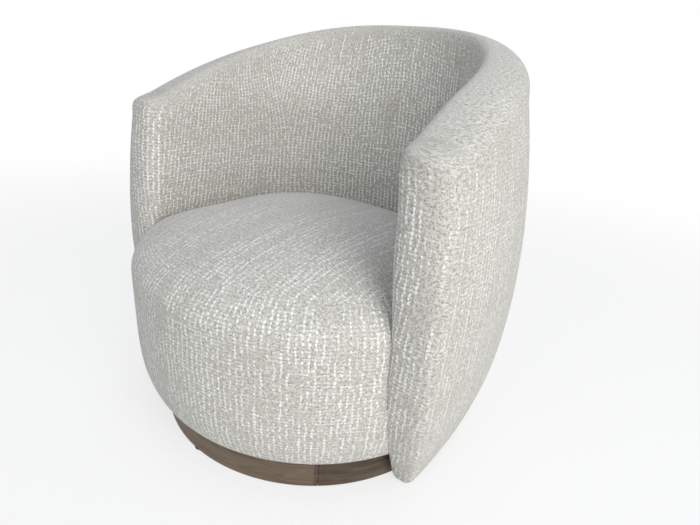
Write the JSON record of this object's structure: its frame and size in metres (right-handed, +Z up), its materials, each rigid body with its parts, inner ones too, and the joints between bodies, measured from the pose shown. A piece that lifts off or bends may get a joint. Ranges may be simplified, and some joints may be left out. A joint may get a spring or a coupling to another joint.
{
  "type": "swivel barrel chair",
  "caption": "Upholstered barrel chair: a wraparound back and arms round a domed seat drum, swivelling on a low round wooden plinth.",
  "frame": {"origin": "centre of the bounding box, on the floor under the glides; the swivel axis stands 8.5 mm behind it", "axes": "+Z up, the chair faces -Y, +X towards the sitter's left arm"},
  "size_m": [0.7996, 0.729, 0.7825],
  "materials": {
    "cover_fabric": "woven, matt",
    "lining": "non-woven, matt",
    "foam": "open-cell foam",
    "webbing": "woven jute",
    "stained_wood": "stained, satin",
    "plywood": "raw",
    "steel": "zinc plated",
    "nylon": "matt"
  },
  "bodies": {
    "base": {"plinth_segment_1": "stained_wood", "plinth_segment_2": "stained_wood", "plinth_segment_3": "stained_wood", "plinth_segment_4": "stained_wood", "glide_1": "nylon", "glide_2": "nylon", "glide_3": "nylon", "glide_4": "nylon", "plinth_board": "plywood", "swivel_lower_plate": "steel", "pivot_pin": "steel", "lower_plate_screw_1": "steel", "lower_plate_screw_2": "steel", "lower_plate_screw_3": "steel", "lower_plate_screw_4": "steel"},
    "chair_body": {"swivel_upper_plate": "steel", "upper_plate_bolt_1": "steel", "upper_plate_bolt_2": "steel", "upper_plate_bolt_3": "steel", "upper_plate_bolt_4": "steel", "body_board": "plywood", "dust_cover": "lining", "seat_upright_1": "plywood", "seat_upright_2": "plywood", "seat_upright_3": "plywood", "seat_upright_4": "plywood", "seat_upright_5": "plywood", "seat_upright_6": "plywood", "front_panel": "plywood", "seat_deck": "plywood", "side_strap_1": "webbing", "side_strap_2": "webbing", "side_strap_3": "webbing", "long_strap_1": "webbing", "long_strap_2": "webbing", "seat_foam": "foam", "seat_cover": "cover_fabric", "skirt_band": "plywood", "back_rib_1": "plywood", "back_rib_2": "plywood", "back_rib_3": "plywood", "back_rib_4": "plywood", "back_rib_5": "plywood", "back_rib_6": "plywood", "back_rib_7": "plywood", "top_rail": "plywood", "arm_front_board_left": "plywood", "arm_front_board_right": "plywood", "back_pad": "foam", "top_roll_pad": "foam", "back_cover": "cover_fabric"},
    "cage": {"ball_cage": "nylon", "bearing_ball_1": "steel", "bearing_ball_2": "steel", "bearing_ball_3": "steel", "bearing_ball_4": "steel", "bearing_ball_5": "steel", "bearing_ball_6": "steel", "bearing_ball_7": "steel", "bearing_ball_8": "steel"}
  },
  "joints": [
    {"name": "seat_swivel", "type": "hinge", "parent": "base", "child": "chair_body", "pos_m": [0, 0.0085, 0.0755], "axis": [0, 0, 1], "continuous": true},
    {"name": "cage_orbit", "type": "hinge", "parent": "base", "child": "cage", "pos_m": [0, 0.0085, 0.0675], "axis": [0, 0, 1], "continuous": true}
  ],
  "couplings": [
    {"joint": "cage_orbit", "follows": "seat_swivel", "ratio": 0.5}
  ]
}
